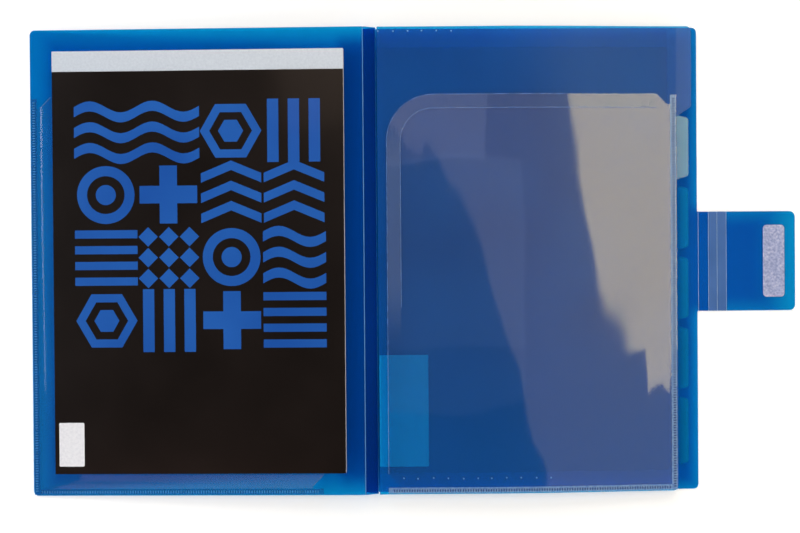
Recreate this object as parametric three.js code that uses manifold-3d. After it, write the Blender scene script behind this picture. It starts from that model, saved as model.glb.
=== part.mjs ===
// A translucent accordion file folder for A4 sheets, lying open on a table with its inside up.
// X runs across the open folder, Y along its spine and Z up. All sizes are in millimetres.
// The back cover lies flat. The spine between the covers is folded in two, so that it stands as
// a low bellows, and the front cover slopes down from it to the table with a note pad on it.
import * as THREE from 'three';
import Module from 'manifold-3d';
import { mergeVertices } from 'three/addons/utils/BufferGeometryUtils.js';

const wasm = await Module();
wasm.setup();

// Covers and spine
const coverHeight = 330;
const frontCoverWidth = 236;
const backCoverWidth = 238.3;
const coverSheet = 0.6;
const coverCornerRadius = 3.5;
const spinePanelWidth = 10;
const frontCreaseHeight = 10.5;
const creaseGap = 0.15;
const frontCreaseGap = 0.35;

// Closing flap, wrapped round the fore-edge by four creases
const flapHeight = 71;
const flapOffset = -2;
const flapNeck = 0.8;
const flapNeckFillet = 0.7;
const wrapPanelWidths = [7.3, 6.2, 6.6];
const flapTabLength = 49.5;
const flapCornerRadius = 4;

// Hook and loop fastener
const patchWidth = 15.2;
const patchHeight = 51.5;
const patchRadius = 2.5;
const hookThickness = 0.9;
const loopThickness = 0.8;
const hookInset = 26.4;

// Pocket walls: the front wall and the dividers behind it
const pocketCount = 6;
const wallSheet = 0.3;
const wallClearance = 1;
const frontWallWidth = 222.5;
const dividerWidth = 216.5;
const stackSpineHeight = 9.2;
const stackForeHeight = 6.2;
const stackBulge = 2.6;
const stackSteps = 20;

// Index tabs
const tabDepth = 14.6;
const tabPitch = 50.1;
const tabSpace = 1;
const tabSlant = 4;
const tabRadius = 2.2;
const tabRootRadius = 1.2;
const lastTabHeight = 54;
const frontTabDepth = 10.5;
const frontTabHeight = 64;
const frontTabSlant = 7;

// Pleated gussets along the two ends of the pockets
const gussetDepth = 14.5;
const gussetSheet = 0.14;
const gussetInset = 0.5;
const gussetFold = 0.6;
const gussetSpineSetback = 2;

// Clear film pockets, one on the front wall and one inside the front cover
const filmSheet = 0.2;
const filmWidth = 206;
const filmHeight = 282;
const filmMargin = 0.3;
const filmWeld = 4.4;
const filmCornerRadius = 33;
const filmChamfer = 7.5;
const filmNotch = 2.2;
const filmWeldSetback = 0.9;

// Note pad in the cover pocket, an A4 one on this cover
const padFromCrease = 13.4;
const padFromEdge = 17.6;
const padFromEnd = 16.5;
const cardClearance = 1.8;
const padCard = 0.8;
const padBlock = 4.6;
const padCoverSheet = 0.3;
const padTape = 0.25;
const padTapeWidth = 14;

// Label on the first divider, which shows through the front wall
const labelWidth = 34.5;
const labelHeight = 79;
const labelSheet = 0.1;
const labelFromEdge = 0.25;
const labelFromEnd = 4.8;

// Space between two sheets that lie on each other
const skin = 0.05;

// Values that follow from the sizes above
const halfHeight = coverHeight / 2;
const bodyHalf = halfHeight - gussetDepth;
const flapCrease = backCoverWidth + flapNeck;
const flapLength = wrapPanelWidths.reduce((sum, width) => sum + width, 0) + flapTabLength;

// The spine panels turn on their inner faces at the covers and on their outer faces at the
// middle, so each one is a link a little longer than the panel is wide.
const spineLink = Math.hypot(spinePanelWidth, coverSheet);
const spineLinkAngle = Math.asin((frontCreaseHeight - coverSheet) / (2 * spineLink));
const spineAngle = spineLinkAngle - Math.atan(coverSheet / spinePanelWidth);
const spineTip = spineLink * Math.cos(spineLinkAngle) + coverSheet * Math.sin(spineAngle);
const wallStart = spineTip + wallClearance;

// The front cover's outer edge touches the table.
const coverReach = Math.hypot(frontCoverWidth, coverSheet);
const coverTilt = Math.asin(frontCreaseHeight / coverReach) - Math.atan(coverSheet / frontCoverWidth);

// The folder is centred between the front cover's outer edge and the end of the flap.
const coverEdge = -(frontCoverWidth * Math.cos(coverTilt) + coverSheet * Math.sin(coverTilt));
const centreX = (coverEdge + flapCrease + flapLength) / 2;

const folder = new THREE.Group();
folder.position.x = -centreX;

const sheetBlue = { color: 0x0a5fa5, roughness: 0.25, transparent: true, opacity: 0.8 };
const clearFilm = { color: 0xc8d4e4, roughness: 0.15, transparent: true, opacity: 0.35 };
const white = { color: 0xe9e6ea, roughness: 0.7 };

function addPiece(parent, name, geometry, look) {
  const mesh = new THREE.Mesh(geometry, new THREE.MeshStandardMaterial({ metalness: 0, ...look }));
  mesh.name = name;
  parent.add(mesh);
  return mesh;
}

// A closed outline through the corners [x, y, radius], each rounded to its radius.
function roundedOutline(corners) {
  const points = [];
  corners.forEach(([x, y, radius = 0], i) => {
    const corner = new THREE.Vector2(x, y);
    if (radius === 0) {
      points.push(corner);
      return;
    }
    const [beforeX, beforeY] = corners[(i + corners.length - 1) % corners.length];
    const [afterX, afterY] = corners[(i + 1) % corners.length];
    const before = new THREE.Vector2(beforeX, beforeY).sub(corner).normalize();
    const after = new THREE.Vector2(afterX, afterY).sub(corner).normalize();
    const half = Math.acos(before.dot(after)) / 2;
    const centre = before.clone().add(after).normalize();
    centre.multiplyScalar(radius / Math.sin(half)).add(corner);
    const start = before.clone().multiplyScalar(radius / Math.tan(half)).add(corner).sub(centre);
    const turn = (Math.PI - 2 * half) * (before.cross(after) > 0 ? -1 : 1);
    const steps = Math.max(4, Math.round(radius * Math.abs(turn) / 4));
    for (let k = 0; k <= steps; k += 1) {
      points.push(start.clone().rotateAround(new THREE.Vector2(), turn * k / steps).add(centre));
    }
  });
  return new THREE.Shape(points);
}

function rectangle(x0, y0, x1, y1, radius = 0) {
  return roundedOutline([[x0, y0, radius], [x1, y0, radius], [x1, y1, radius], [x0, y1, radius]]);
}

// The outline thickened from one height to another.
function plate(outline, low, high) {
  const geometry = new THREE.ExtrudeGeometry(outline, { depth: high - low, bevelEnabled: false });
  geometry.translate(0, 0, low);
  return geometry;
}

function toSolid(geometry) {
  const bare = geometry.clone();
  bare.deleteAttribute('normal');
  bare.deleteAttribute('uv');
  const merged = mergeVertices(bare, 1e-4);
  return new wasm.Manifold(new wasm.Mesh({
    numProp: 3,
    vertProperties: merged.attributes.position.array,
    triVerts: new Uint32Array(merged.index.array),
  }));
}

function toGeometry(solid) {
  const { vertProperties, triVerts } = solid.getMesh();
  const geometry = new THREE.BufferGeometry();
  geometry.setAttribute('position', new THREE.BufferAttribute(vertProperties, 3));
  geometry.setIndex(new THREE.BufferAttribute(triVerts, 1));
  geometry.computeVertexNormals();
  return geometry;
}

// A sheet of even thickness whose upper face is topAt(x, y) over a grid of stations.
function curvedSheet(xs, ys, topAt, thickness) {
  const positions = [];
  for (const drop of [0, thickness]) {
    for (const y of ys) {
      for (const x of xs) {
        positions.push(x, y, topAt(x, y) - drop);
      }
    }
  }
  const columns = xs.length;
  const rows = ys.length;
  const under = columns * rows;
  const index = [];
  const quad = (a, b, c, d) => index.push(a, b, c, a, c, d);
  for (let j = 0; j < rows - 1; j += 1) {
    for (let i = 0; i < columns - 1; i += 1) {
      const a = j * columns + i;
      const d = a + columns;
      quad(a, a + 1, d + 1, d);
      quad(under + a, under + d, under + d + 1, under + a + 1);
    }
  }
  for (let i = 0; i < columns - 1; i += 1) {
    const far = (rows - 1) * columns + i;
    quad(i, under + i, under + i + 1, i + 1);
    quad(far + 1, under + far + 1, under + far, far);
  }
  for (let j = 0; j < rows - 1; j += 1) {
    const left = j * columns;
    const right = left + columns - 1;
    quad(left + columns, under + left + columns, under + left, left);
    quad(right, under + right, under + right + columns, right + columns);
  }
  const geometry = new THREE.BufferGeometry();
  geometry.setAttribute('position', new THREE.Float32BufferAttribute(positions, 3));
  geometry.setIndex(index);
  return geometry;
}

// What a vertical cutter of the given outline leaves of a sheet.
function trimmed(sheet, outline) {
  return toGeometry(toSolid(sheet).intersect(toSolid(plate(outline, -coverHeight, coverHeight))));
}

// A closed body through sections of Vector3 points that follow each other along X.
function loft(sections) {
  const flat = (section) => section.map((point) => new THREE.Vector2(point.y, point.z));
  const backwards = THREE.ShapeUtils.isClockWise(flat(sections[0]));
  const rings = backwards ? sections.map((section) => [...section].reverse()) : sections;
  const count = rings[0].length;
  const positions = rings.flat().flatMap((point) => [point.x, point.y, point.z]);
  const last = (rings.length - 1) * count;
  const index = [];
  for (let start = 0; start < last; start += count) {
    for (let i = 0; i < count; i += 1) {
      const a = start + i;
      const b = start + (i + 1) % count;
      index.push(a, b, b + count, a, b + count, a + count);
    }
  }
  for (const [a, b, c] of THREE.ShapeUtils.triangulateShape(flat(rings[0]), [])) {
    index.push(a, c, b, last + a, last + b, last + c);
  }
  const geometry = new THREE.BufferGeometry();
  geometry.setAttribute('position', new THREE.Float32BufferAttribute(positions, 3));
  geometry.setIndex(index);
  geometry.computeVertexNormals();
  return geometry;
}

// Back cover with the short neck that carries the flap
const flapLow = flapOffset - flapHeight / 2;
const flapHigh = flapOffset + flapHeight / 2;
const backOutline = roundedOutline([
  [creaseGap, -halfHeight],
  [backCoverWidth, -halfHeight, coverCornerRadius],
  [backCoverWidth, flapLow, flapNeckFillet],
  [flapCrease - creaseGap, flapLow],
  [flapCrease - creaseGap, flapHigh],
  [backCoverWidth, flapHigh, flapNeckFillet],
  [backCoverWidth, halfHeight, coverCornerRadius],
  [creaseGap, halfHeight],
]);
addPiece(folder, 'back_cover', plate(backOutline, 0, coverSheet), sheetBlue);

// Spine: the lower panel rises from the back cover and the upper one leans back over it
const spineOutline = rectangle(creaseGap, -halfHeight, spinePanelWidth - creaseGap, halfHeight);
const spineLower = new THREE.Group();
spineLower.position.z = coverSheet;
spineLower.rotation.y = -spineAngle;
folder.add(spineLower);
addPiece(spineLower, 'spine_panel_lower', plate(spineOutline, 0, coverSheet), sheetBlue);

const spineUpperOutline = rectangle(frontCreaseGap, -halfHeight, spinePanelWidth - creaseGap, halfHeight);
const spineUpper = new THREE.Group();
spineUpper.position.z = frontCreaseHeight;
spineUpper.rotation.y = spineAngle;
folder.add(spineUpper);
addPiece(spineUpper, 'spine_panel_upper', plate(spineUpperOutline, -coverSheet, 0), sheetBlue);

// Closing flap: three narrow panels that wrap the fore-edge, then the tab with the hooks
const wrapCreases = [flapCrease];
wrapPanelWidths.forEach((width, i) => {
  const start = wrapCreases[i];
  const outline = rectangle(start + creaseGap, flapLow, start + width - creaseGap, flapHigh);
  addPiece(folder, `flap_panel_${i + 1}`, plate(outline, 0, coverSheet), sheetBlue);
  wrapCreases.push(start + width);
});
const lastWrapCrease = wrapCreases[wrapPanelWidths.length];
const flapEnd = lastWrapCrease + flapTabLength;
const flapTabOutline = roundedOutline([
  [lastWrapCrease + creaseGap, flapLow],
  [flapEnd, flapLow, flapCornerRadius],
  [flapEnd, flapHigh, flapCornerRadius],
  [lastWrapCrease + creaseGap, flapHigh],
]);
addPiece(folder, 'flap_tab', plate(flapTabOutline, 0, coverSheet), sheetBlue);

const patchLow = flapOffset - patchHeight / 2;
const patchHigh = flapOffset + patchHeight / 2;
const hookStart = lastWrapCrease + hookInset;
const hookOutline = rectangle(hookStart, patchLow, hookStart + patchWidth, patchHigh, patchRadius);
addPiece(folder, 'hook_patch', plate(hookOutline, coverSheet, coverSheet + hookThickness), white);

// Heights of the stack of pocket walls over the back cover. It bulges gently between the spine
// and the fore-edge, and every wall follows the same stations.
const stackEnd = frontWallWidth + frontTabDepth + 1;
const stackStart = wallStart - 1;
const stackStations = Array.from({ length: stackSteps + 1 }, (_, i) => (
  stackStart + (stackEnd - stackStart) * i / stackSteps
));

function stackCurve(x) {
  const share = (x - wallStart) / (frontWallWidth - wallStart);
  const bulge = Math.sin(Math.PI * THREE.MathUtils.clamp(share, 0, 1)) ** 2 * stackBulge;
  return THREE.MathUtils.lerp(stackSpineHeight, stackForeHeight, share) + bulge;
}

function stackHeight(x) {
  const step = (stackEnd - stackStart) / stackSteps;
  const i = THREE.MathUtils.clamp(Math.floor((x - stackStart) / step), 0, stackSteps - 1);
  const share = (x - stackStations[i]) / step;
  return THREE.MathUtils.lerp(stackCurve(stackStations[i]), stackCurve(stackStations[i + 1]), share);
}

// Wall 1 is the front wall, and the wall after the last one is the back cover itself.
function wallTop(wall, x) {
  const share = (pocketCount + 1 - wall) / pocketCount;
  return coverSheet + share * (stackHeight(x) - coverSheet);
}

function wallOutline(wall) {
  if (wall === 1) {
    const tabBase = halfHeight - frontTabHeight;
    const tabEdge = frontWallWidth + frontTabDepth;
    return roundedOutline([
      [wallStart, -halfHeight],
      [frontWallWidth, -halfHeight, coverCornerRadius],
      [frontWallWidth, tabBase, tabRootRadius],
      [tabEdge, tabBase + frontTabSlant, tabRadius],
      [tabEdge, halfHeight, coverCornerRadius],
      [wallStart, halfHeight],
    ]);
  }
  const tabLow = -bodyHalf + lastTabHeight + (pocketCount - wall) * tabPitch;
  const tabBottom = wall === pocketCount ? -bodyHalf + tabSpace : tabLow - tabPitch + tabSpace;
  const tabEdge = dividerWidth + tabDepth;
  return roundedOutline([
    [wallStart, -bodyHalf],
    [dividerWidth, -bodyHalf],
    [dividerWidth, tabBottom],
    [tabEdge, tabBottom + tabSlant, tabRadius],
    [tabEdge, tabLow - tabSlant, tabRadius],
    [dividerWidth, tabLow, tabRootRadius],
    [dividerWidth, bodyHalf],
    [wallStart, bodyHalf],
  ]);
}

for (let wall = 1; wall <= pocketCount; wall += 1) {
  const slab = curvedSheet(stackStations, [-coverHeight, coverHeight], (x) => wallTop(wall, x), wallSheet);
  const name = wall === 1 ? 'front_wall' : `divider_${wall}`;
  addPiece(folder, name, trimmed(slab, wallOutline(wall)), sheetBlue);
}

const labelSlab = curvedSheet(
  stackStations,
  [-coverHeight, coverHeight],
  (x) => wallTop(2, x) + labelSheet,
  labelSheet,
);
const labelOutline = rectangle(
  wallStart + labelFromEdge,
  labelFromEnd - bodyHalf,
  wallStart + labelFromEdge + labelWidth,
  labelFromEnd + labelHeight - bodyHalf,
);
addPiece(folder, 'index_label', trimmed(labelSlab, labelOutline), white);

// Each pocket is closed at both ends by a pleat: a leg goes out from the wall above to the fold
// and another comes back to the wall below. The pleats beside the front wall and the back cover
// lie flat against them, where they are welded.
const gussetStart = wallStart + gussetSpineSetback;
const gussetStations = [
  gussetStart,
  ...stackStations.filter((x) => x > gussetStart + skin && x < dividerWidth - skin),
  dividerWidth,
];

function gussetSection(pocket, x, side) {
  const inner = bodyHalf + skin;
  const outer = halfHeight - gussetInset;
  const wallAbove = wallTop(pocket, x) - wallSheet;
  const wallBelow = wallTop(pocket + 1, x);
  const upperTop = pocket === 1 ? wallAbove - skin : wallAbove + gussetSheet;
  const lowerBottom = pocket === pocketCount ? wallBelow + skin : wallBelow - gussetSheet;
  let fold = (wallAbove + wallBelow) / 2;
  if (pocket === 1) {
    fold = upperTop - gussetSheet;
  } else if (pocket === pocketCount) {
    fold = lowerBottom + gussetSheet;
  }
  return [
    [inner, upperTop],
    [outer, fold + gussetSheet],
    [outer, fold - gussetSheet],
    [inner, lowerBottom],
    [inner, lowerBottom + gussetSheet],
    [outer - gussetFold, fold],
    [inner, upperTop - gussetSheet],
  ].map(([y, z]) => new THREE.Vector3(x, side * y, z));
}

for (const [end, side] of [['top', 1], ['bottom', -1]]) {
  for (let pocket = 1; pocket <= pocketCount; pocket += 1) {
    const sections = gussetStations.map((x) => gussetSection(pocket, x, side));
    addPiece(folder, `gusset_${end}_${pocket}`, loft(sections), sheetBlue);
  }
}

// Outline of a film pocket between its free edge, near the spine, and its welded edge. The
// welds end in small notches beside chamfered corners.
function filmOutline(freeX, weldX) {
  const outward = Math.sign(weldX - freeX);
  const low = -halfHeight + filmMargin;
  const high = low + filmHeight;
  const weldInner = weldX - outward * filmWeld;
  const weldTop = low + filmWeld;
  return roundedOutline([
    [weldX, low, coverCornerRadius],
    [weldX, high - filmWeldSetback],
    [weldInner, high - filmWeldSetback],
    [weldInner, high - filmChamfer],
    [weldInner - outward * filmNotch, high - filmChamfer],
    [weldInner - outward * (filmNotch + filmChamfer), high],
    [freeX, high, filmCornerRadius],
    [freeX, weldTop + filmNotch + filmChamfer],
    [freeX + outward * filmChamfer, weldTop + filmNotch],
    [freeX + outward * filmChamfer, weldTop],
    [freeX, weldTop],
    [freeX, low],
  ]);
}

const wallFilmEdge = frontWallWidth - filmMargin;
const wallFilm = curvedSheet(
  stackStations,
  [-coverHeight, coverHeight],
  (x) => wallTop(1, x) + skin + filmSheet,
  filmSheet,
);
const wallFilmOutline = filmOutline(wallFilmEdge - filmWidth, wallFilmEdge);
addPiece(folder, 'wall_pocket_film', trimmed(wallFilm, wallFilmOutline), clearFilm);

// Front cover, drawn from its crease to the left and then tilted down to the table
const frontCover = new THREE.Group();
frontCover.position.z = frontCreaseHeight;
frontCover.rotation.y = -coverTilt;
folder.add(frontCover);
const frontOutline = roundedOutline([
  [-frontCreaseGap, -halfHeight],
  [-frontCreaseGap, halfHeight],
  [-frontCoverWidth, halfHeight, coverCornerRadius],
  [-frontCoverWidth, -halfHeight, coverCornerRadius],
]);
addPiece(frontCover, 'front_cover', plate(frontOutline, -coverSheet, 0), sheetBlue);

// The loops on the outside of the cover meet the hooks when the flap wraps a closed folder.
const loopStart = -(flapCrease - hookInset);
const loopOutline = rectangle(loopStart, patchLow, loopStart + patchWidth, patchHigh, patchRadius);
const loopTop = -coverSheet - skin;
addPiece(frontCover, 'loop_patch', plate(loopOutline, loopTop - loopThickness, loopTop), white);

// The cover's film pocket is welded flat at two edges and rises over the pad's back card.
const coverFilmEdge = -frontCoverWidth + filmMargin;
const filmLift = padCard + skin;
const filmRise = Math.min(padFromEnd, padFromEdge) - filmMargin - filmWeld - cardClearance;
const coverFilmLow = -halfHeight + filmMargin;

function filmRiseAt(x, y) {
  const fromSide = THREE.MathUtils.smoothstep(x, coverFilmEdge + filmWeld, coverFilmEdge + filmWeld + filmRise);
  const fromEnd = THREE.MathUtils.smoothstep(y, coverFilmLow + filmWeld, coverFilmLow + filmWeld + filmRise);
  return skin + filmSheet + filmLift * fromSide * fromEnd;
}

const riseSteps = [0, 0.25, 0.5, 0.75, 1].map((share) => filmWeld + filmRise * share);
const filmXs = [-1, ...riseSteps, filmWidth + 1].map((reach) => coverFilmEdge + reach);
const filmYs = [-1, ...riseSteps, filmHeight + 1].map((reach) => coverFilmLow + reach);
const coverFilm = curvedSheet(filmXs, filmYs, filmRiseAt, filmSheet);
const coverFilmOutline = filmOutline(coverFilmEdge + filmWidth, coverFilmEdge);
addPiece(frontCover, 'cover_pocket_film', trimmed(coverFilm, coverFilmOutline), clearFilm);

// Note pad: its back card is tucked behind the film and its paper block lies in front of it
const padRight = -padFromCrease;
const padLeft = padFromEdge - frontCoverWidth;
const padHalf = halfHeight - padFromEnd;
const cardTop = skin + padCard;
const blockLow = skin + filmSheet + filmLift + skin;
const blockTop = blockLow + padBlock;
const padOutline = rectangle(padLeft, -padHalf, padRight, padHalf);
addPiece(frontCover, 'pad_back_card', plate(padOutline, skin, cardTop), { color: 0xb9b2a6, roughness: 0.9 });
addPiece(frontCover, 'pad_paper_block', plate(padOutline, blockLow, blockTop), white);

// The tape folds over the head of the block and holds the sheets and the card together.
const tapeEnd = padHalf + skin + padTape;
const tapeTop = blockTop + skin + padTape;
const tapeLow = padHalf - padTapeWidth;
const tapeSection = [
  [tapeLow, tapeTop],
  [tapeEnd, tapeTop],
  [tapeEnd, skin],
  [padHalf + skin, skin],
  [padHalf + skin, blockTop + skin],
  [tapeLow, blockTop + skin],
];
const tapeSections = [padLeft, padRight].map((x) => (
  tapeSection.map(([y, z]) => new THREE.Vector3(x, y, z))
));
addPiece(frontCover, 'pad_head_tape', loft(tapeSections), white);

const padSheetOutline = rectangle(padLeft, -padHalf, padRight, tapeLow - creaseGap);
const padSheetLow = blockTop + skin;
const padSheet = plate(padSheetOutline, padSheetLow, padSheetLow + padCoverSheet);
addPiece(frontCover, 'pad_cover_sheet', padSheet, { color: 0x1c1919, roughness: 0.2 });

export default folder;
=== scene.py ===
import math
import random

import bmesh
import bpy
from mathutils import Matrix, Vector, noise


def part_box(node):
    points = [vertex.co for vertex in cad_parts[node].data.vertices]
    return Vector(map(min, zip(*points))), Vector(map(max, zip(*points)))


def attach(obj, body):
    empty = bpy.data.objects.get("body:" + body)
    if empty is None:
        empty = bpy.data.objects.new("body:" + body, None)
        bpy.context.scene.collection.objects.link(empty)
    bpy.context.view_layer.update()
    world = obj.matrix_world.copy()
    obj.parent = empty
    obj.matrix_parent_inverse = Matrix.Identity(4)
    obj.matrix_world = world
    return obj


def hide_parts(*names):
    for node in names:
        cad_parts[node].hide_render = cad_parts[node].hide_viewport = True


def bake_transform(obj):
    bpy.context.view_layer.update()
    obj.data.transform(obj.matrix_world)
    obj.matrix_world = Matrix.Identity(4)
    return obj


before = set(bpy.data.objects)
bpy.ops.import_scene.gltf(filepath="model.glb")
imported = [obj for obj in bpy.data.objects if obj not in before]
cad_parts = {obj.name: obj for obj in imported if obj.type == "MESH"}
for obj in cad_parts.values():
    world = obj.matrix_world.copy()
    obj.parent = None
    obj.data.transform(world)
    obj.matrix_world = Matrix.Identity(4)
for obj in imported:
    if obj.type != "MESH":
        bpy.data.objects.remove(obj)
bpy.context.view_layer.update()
random.seed(7)
mm = 0.001
scene = bpy.context.scene
print("frame loaded:", len(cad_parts), "CAD nodes")


# The camera looks down at the open folder, nearly straight.
camera = {
    "place": (-0.0235, 0.0016, 0.7928),  # metres
    "tilt": (-0.413, -0.901, -0.433),    # degrees about X, Y and the view
    "lens": 50,
    "sensor": 36,
    "near": 0.01,  # metres
}
cameraData = bpy.data.cameras.new("camera")
cameraData.lens = camera["lens"]
cameraData.sensor_width = camera["sensor"]
cameraData.clip_start = camera["near"]
cameraObject = bpy.data.objects.new("camera", cameraData)
scene.collection.objects.link(cameraObject)
turnX, turnY, turnZ = (
    Matrix.Rotation(math.radians(angle), 4, axis) for angle, axis in zip(camera["tilt"], "XYZ"))
cameraObject.matrix_world = Matrix.Translation(camera["place"]) @ (turnY @ turnX @ turnZ)
scene.camera = cameraObject
print("camera set")


def linearHex(code):
    channels = [int(code[i:i + 2], 16) / 255 for i in (0, 2, 4)]
    return [c / 12.92 if c <= 0.04045 else ((c + 0.055) / 1.055) ** 2.4 for c in channels] + [1.0]


def addNode(tree, kind, settings=None, inputs=None, stops=()):
    node = tree.nodes.new("ShaderNode" + kind)
    for key, value in (settings or {}).items():
        setattr(node, key, value)
    for key, value in (inputs or {}).items():
        if isinstance(value, bpy.types.NodeSocket):
            tree.links.new(value, node.inputs[key])
        else:
            node.inputs[key].default_value = value
    for index, (position, colour) in enumerate(stops):  # a colour ramp starts with two of them
        elements = node.color_ramp.elements
        element = elements[index] if index < 2 else elements.new(position)
        element.position, element.color = position, colour
    return node


smooth = {"interpolation_type": "SMOOTHSTEP"}


def newMaterial(name):
    material = bpy.data.materials.new(name)
    material.use_nodes = True
    tree = material.node_tree
    tree.nodes.clear()
    return material, tree, addNode(tree, "TexCoord").outputs["Object"]


def closeMaterial(material, shader):
    addNode(material.node_tree, "OutputMaterial", inputs={"Surface": shader.outputs[0]})
    return material


def dress(node, material):
    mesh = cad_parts[node].data
    mesh.materials.clear()
    mesh.materials.append(material)


def meshOfNode(node):  # an editable copy of a CAD node's triangles, with flat faces whole again
    bm = bmesh.new()
    bm.from_mesh(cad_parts[node].data)
    bmesh.ops.remove_doubles(bm, verts=bm.verts, dist=0.002 * mm)
    bmesh.ops.dissolve_limit(bm, angle_limit=math.radians(0.4), verts=bm.verts, edges=bm.edges)
    return bm


def cutAt(bm, normal, places):
    for spot in places:
        geometry = bm.verts[:] + bm.edges[:] + bm.faces[:]
        bmesh.ops.bisect_plane(
            bm, geom=geometry, plane_co=Vector(normal) * spot, plane_no=normal, dist=1e-7)


def boxBetween(bm, low, high):  # a box between two corners, in mm
    box = bmesh.ops.create_cube(bm, size=1)["verts"]
    bmesh.ops.scale(bm, vec=[abs(b - a) * mm for a, b in zip(low, high)], verts=box)
    bmesh.ops.translate(bm, vec=[(a + b) / 2 * mm for a, b in zip(low, high)], verts=box)


def steps(low, high, pitch):  # the places between two ends, about a pitch apart
    count = max(1, round((high - low) / pitch))
    return [low + (high - low) * i / count for i in range(1, count)]


def makePiece(name, bm, material, sharp=35):
    bmesh.ops.recalc_face_normals(bm, faces=bm.faces)
    for face in bm.faces:
        face.smooth = True
    for edge in bm.edges:
        if len(edge.link_faces) == 2 and edge.calc_face_angle(0) > math.radians(sharp):
            edge.smooth = False
    mesh = bpy.data.meshes.new(name)
    bm.to_mesh(mesh)
    bm.free()
    mesh.materials.append(material)
    piece = bpy.data.objects.new(name, mesh)
    scene.collection.objects.link(piece)
    return piece


def place(piece, body, slot, *nodes):
    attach(piece, body)
    if nodes:
        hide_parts(*nodes)


def smoothStep(value):
    value = min(max(value, 0.0), 1.0)
    return value * value * (3 - 2 * value)


def swellAt(x, y, swells):  # each swell: mm across, mm along, seed and share
    return sum(
        share * noise.noise(Vector((x / across, y / along, seed))) for across, along, seed, share in swells)


# Where things lie, in mm unless they say otherwise: the spine's crease, the tilted front cover
# and the stack of walls, which bulges between its two sides.
folder = {
    "spineX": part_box("back_cover")[0].x - 0.15 * mm,  # metres
    "creaseHeight": 10.5 * mm,                        # metres
    "coverTilt": math.radians(2.4043),
    "wallStart": 9.9743, "wallEnd": 222.5,  # from the spine's crease
    "spineHeight": 9.2, "foreHeight": 6.2, "bulge": 2.6,
    "coverSheet": 0.6, "wallSheet": 0.3,
    "halfHeight": 165.0,
    "pockets": 6,
}
coverMatrix = (
    Matrix.Translation((folder["spineX"], 0, folder["creaseHeight"]))
    @ Matrix.Rotation(-folder["coverTilt"], 4, "Y")
)


def stackHeight(x):
    share = (x - folder["wallStart"]) / (folder["wallEnd"] - folder["wallStart"])
    bulge = math.sin(math.pi * min(max(share, 0), 1)) ** 2 * folder["bulge"]
    return folder["spineHeight"] + (folder["foreHeight"] - folder["spineHeight"]) * share + bulge


def wallTop(wall, x):  # wall 1 is the front wall and 7 the back cover
    share = (folder["pockets"] + 1 - wall) / folder["pockets"]
    return folder["coverSheet"] + share * (stackHeight(x) - folder["coverSheet"])


def onStack(x, y, lift, wall=1):  # mm from the spine's crease to the frame, in metres
    return Vector((folder["spineX"] + x * mm, y * mm, (wallTop(wall, x) + lift) * mm))


def onCover(x, y, lift):  # mm along the front cover from its crease to the frame, in metres
    return coverMatrix @ Vector((x * mm, y * mm, lift * mm))


def mirrorShare(tree, level):  # how much a smooth plastic face mirrors, more at a glancing view
    facing = addNode(tree, "LayerWeight", inputs={"Blend": 0.5}).outputs["Facing"]
    steep = addNode(tree, "Math", {"operation": "POWER"}, {0: facing, 1: 5})
    return addNode(tree, "Math", {"operation": "MULTIPLY_ADD"}, {
        0: steep.outputs[0], 1: 0.9, 2: level}).outputs[0]


def rimShare(tree, where, rim):
    # painted light: the sheet is drawn paler towards its rim, for the light that enters at the cut edges
    # and leaves again near them
    axes = addNode(tree, "SeparateXYZ", inputs={0: where})
    offset = addNode(tree, "Math", {"operation": "SUBTRACT"}, {
        0: axes.outputs["Y"], 1: rim["middle"] * mm})
    away = addNode(tree, "Math", {"operation": "ABSOLUTE"}, {0: offset.outputs[0]})
    ends = addNode(tree, "MapRange", smooth, {
        "Value": away.outputs[0], "From Min": (rim["half"] - rim["width"]) * mm,
        "From Max": rim["half"] * mm, "To Max": rim["endShare"]})
    side = addNode(tree, "MapRange", smooth, {
        "Value": axes.outputs["X"], "From Min": folder["spineX"] + rim["sideStart"] * mm,
        "From Max": folder["spineX"] + rim["sideEnd"] * mm}).outputs["Result"]
    if "neckHalf" in rim:  # no cut edge where the neck of the flap goes on
        beside = addNode(tree, "MapRange", smooth, {
            "Value": away.outputs[0], "From Min": (rim["neckHalf"] - rim["neckSoft"]) * mm,
            "From Max": (rim["neckHalf"] + rim["neckSoft"]) * mm})
        side = addNode(tree, "Math", {"operation": "MULTIPLY"}, {
            0: side, 1: beside.outputs["Result"]}).outputs[0]
    return addNode(tree, "Math", {"operation": "MAXIMUM"}, {
        0: ends.outputs["Result"], 1: side}).outputs[0]


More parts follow.
